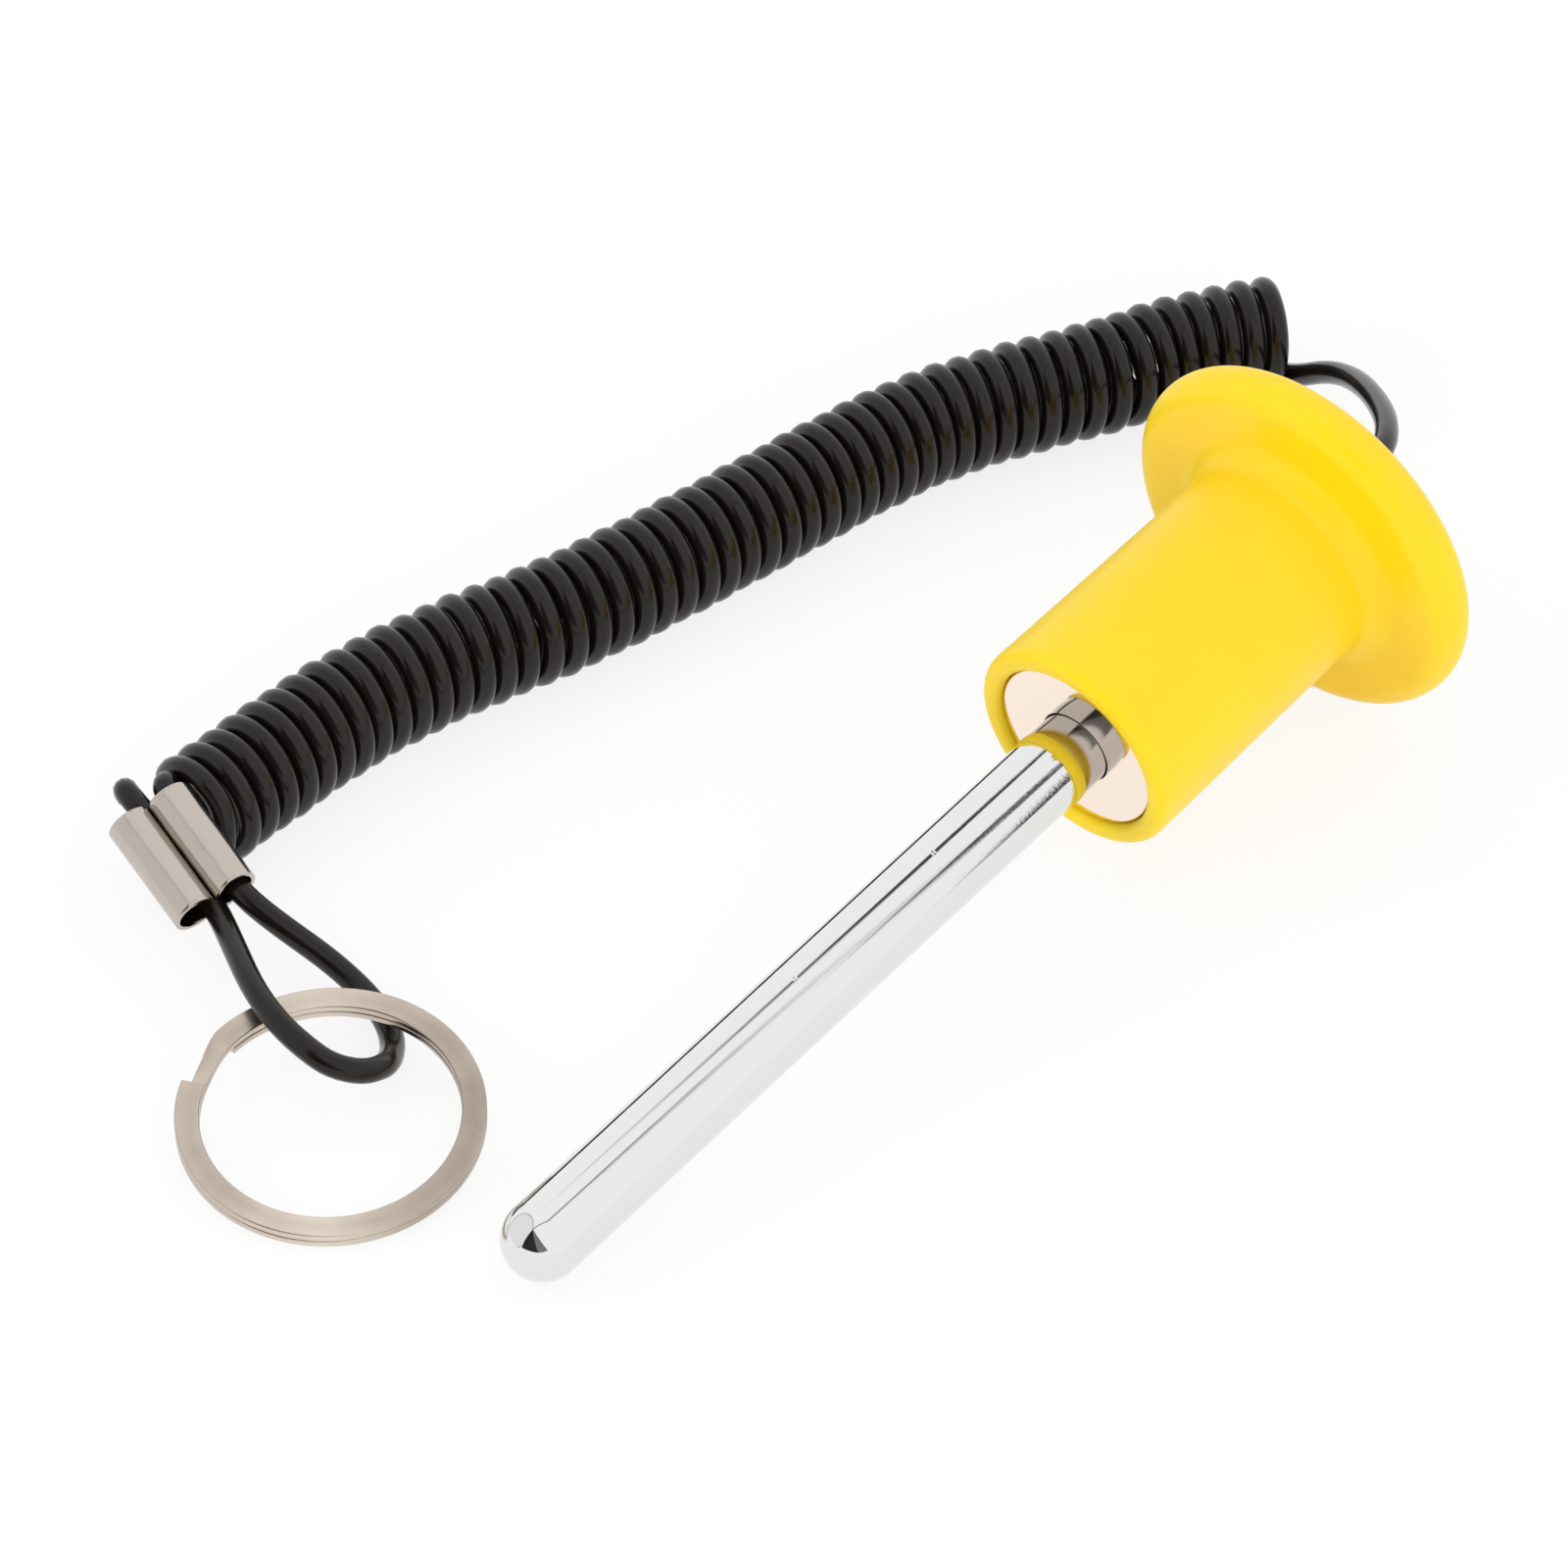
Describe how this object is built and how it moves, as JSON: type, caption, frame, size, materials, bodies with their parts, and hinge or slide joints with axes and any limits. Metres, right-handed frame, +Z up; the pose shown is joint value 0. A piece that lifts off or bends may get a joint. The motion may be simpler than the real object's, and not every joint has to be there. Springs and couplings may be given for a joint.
{
  "type": "weight stack pin",
  "caption": "Chromed selector pin with a magnetic mushroom knob, tethered by a coiled cord to a crimped loop and a flat split ring.",
  "frame": {"origin": "on the resting surface, under the middle of the pin's own box (rod and knob, without the lanyard)", "axes": "+X from the rod's tip to the knob, +Z up from the resting surface, +Y towards the lanyard"},
  "size_m": [0.2065, 0.1126, 0.0498],
  "materials": {
    "chromed_steel": "polished chrome plating on a turned steel bar",
    "nickel_plated_steel": "satin nickel plating",
    "nickel_plated_magnet": "bright nickel plating on a sintered magnet",
    "yellow_urethane": "smooth moulded satin gloss",
    "ring_steel": "nickel-plated flat spring wire",
    "black_urethane": "smooth glossy extruded urethane"
  },
  "bodies": {
    "pin_and_lanyard": {"pin_rod": "chromed_steel", "buffer_ring": "yellow_urethane", "threaded_insert": "nickel_plated_steel", "face_magnet": "nickel_plated_magnet", "knob": "yellow_urethane", "cord_stop": "nickel_plated_steel", "ferrule": "nickel_plated_steel", "lanyard_coil": "black_urethane", "lanyard_loop": "black_urethane", "lanyard_tail": "black_urethane"},
    "ring": {"split_ring": "ring_steel"}
  },
  "joints": [
    {"name": "ring_turn", "type": "hinge", "parent": "pin_and_lanyard", "child": "ring", "pos_m": [-0.07275, 0.033, 0.00361], "axis": [-0.0984, -0.0984, 0.9903], "continuous": true}
  ]
}
